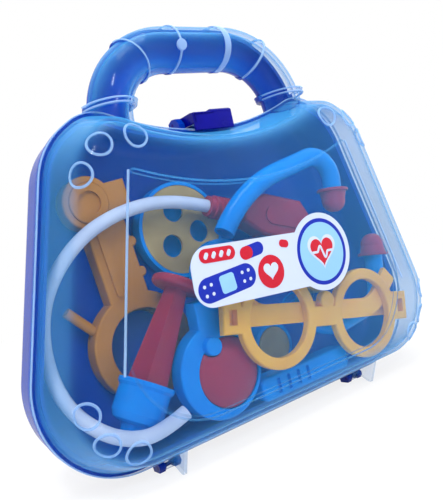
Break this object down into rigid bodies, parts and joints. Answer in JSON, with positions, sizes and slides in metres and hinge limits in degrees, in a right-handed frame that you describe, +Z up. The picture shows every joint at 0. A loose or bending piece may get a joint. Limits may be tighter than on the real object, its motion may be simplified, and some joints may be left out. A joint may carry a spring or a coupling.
{
  "type": "toy doctor case",
  "caption": "Hinged play case with a clear blue cover, a carrying handle and a top latch, packed with toy medical instruments",
  "frame": {"origin": "centre of the closed case's footprint box, on the surface it stands on", "axes": "+Z up towards the handle, -Y out of the clear cover, +X to the right seen from the cover"},
  "size_m": [0.215, 0.0502, 0.188],
  "materials": {
    "case_blue": "moulded polypropylene, smooth gloss",
    "clear_blue": "clear polystyrene with a light blue tint, polished",
    "label_film": "printed film, semi-gloss",
    "azure_plastic": "moulded, satin gloss",
    "red_plastic": "moulded, satin gloss",
    "yellow_plastic": "moulded, satin gloss",
    "tan_plastic": "moulded, matt",
    "clear_lens": "clear, polished",
    "white_tube": "soft white vinyl tube"
  },
  "bodies": {
    "case": {"back_shell": "case_blue", "hinge_pin_left": "case_blue", "hinge_pin_right": "case_blue", "latch_pin": "case_blue", "dish": "azure_plastic", "dish_plate": "tan_plastic", "viewer_body": "yellow_plastic", "viewer_lens": "clear_lens", "viewer_cap": "yellow_plastic", "syringe_barrel": "azure_plastic", "gauge_housing": "azure_plastic", "gauge_grip": "azure_plastic", "glasses_front": "yellow_plastic", "glasses_temple_left": "yellow_plastic", "glasses_temple_right": "yellow_plastic", "glasses_pins": "yellow_plastic", "stethoscope_tube": "white_tube", "tube_connector": "red_plastic", "stethoscope_body": "red_plastic", "headset_arm_upper": "azure_plastic", "headset_arm_lower": "azure_plastic", "ear_tip_upper": "red_plastic", "ear_tip_lower": "red_plastic", "loop_tool": "azure_plastic", "rear_disc": "tan_plastic", "small_disc_holder": "azure_plastic", "small_disc": "tan_plastic"},
    "cover": {"front_cover": "clear_blue", "label": "label_film"},
    "latch": {"latch": "case_blue"},
    "plunger": {"syringe_plunger": "red_plastic"},
    "dome": {"gauge_dome": "red_plastic"}
  },
  "joints": [
    {"name": "cover_swing", "type": "hinge", "parent": "case", "child": "cover", "pos_m": [0, 0.00315, 0.0021], "axis": [1, 0, 0], "range_deg": [0, 170]},
    {"name": "latch_flip", "type": "hinge", "parent": "case", "child": "latch", "pos_m": [0, 0.00915, 0.1446], "axis": [-1, 0, 0], "range_deg": [0, 100]},
    {"name": "plunger_slide", "type": "slide", "parent": "case", "child": "plunger", "axis": [0.565, 0, 0.8251], "range_m": [0, 0.006]},
    {"name": "dome_press", "type": "slide", "parent": "case", "child": "dome", "axis": [0, 1, 0], "range_m": [0, 0.0014], "stiffness_N_per_m": 600}
  ]
}
